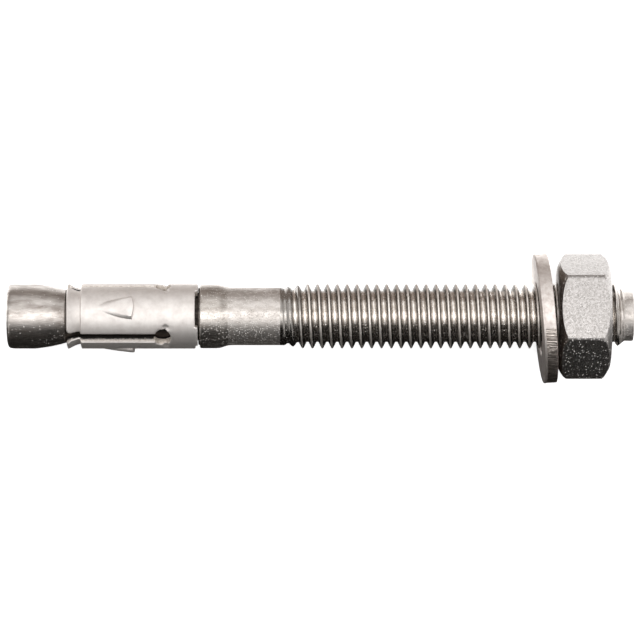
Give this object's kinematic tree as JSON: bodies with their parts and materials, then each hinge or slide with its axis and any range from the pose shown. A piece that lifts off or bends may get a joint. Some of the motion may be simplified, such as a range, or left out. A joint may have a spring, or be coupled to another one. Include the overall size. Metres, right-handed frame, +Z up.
{
  "type": "wedge anchor",
  "caption": "Stainless steel wedge anchor for a drilled hole: cone bolt with a wrapped expansion clip, loose washer and hex nut.",
  "frame": {"origin": "middle of the flat end face of the cone, on the bolt's axis", "axes": "+X along the bolt from the cone to the nut, +Z up from the ground that it lies on"},
  "size_m": [0.095, 0.0198, 0.0197],
  "materials": {
    "bolt_steel": "satin, cold formed, with rolled thread",
    "clip_steel": "smooth satin sheet",
    "washer_steel": "stamped, with a sheared and torn rim",
    "nut_steel": "matt, fine grained"
  },
  "bodies": {
    "bolt_body": {"cone_bolt": "bolt_steel"},
    "clip_body": {"expansion_clip": "clip_steel"},
    "washer_body": {"washer": "washer_steel"},
    "nut_body": {"hex_nut": "nut_steel"}
  },
  "joints": [
    {"name": "clip_turn", "type": "hinge", "parent": "bolt_body", "child": "clip_body", "pos_m": [0.019, 0, 0], "axis": [1, 0, 0], "continuous": true},
    {"name": "nut_travel", "type": "slide", "parent": "bolt_body", "child": "washer_body", "axis": [1, 0, 0], "range_m": [-0.0386, 0.0079]},
    {"name": "nut_turn", "type": "hinge", "parent": "washer_body", "child": "nut_body", "pos_m": [0.0875, 0, 0], "axis": [1, 0, 0], "range_deg": [-9264, 1896]}
  ],
  "couplings": [
    {"joint": "nut_travel", "follows": "nut_turn", "m_per_rad": 0.00023873}
  ]
}
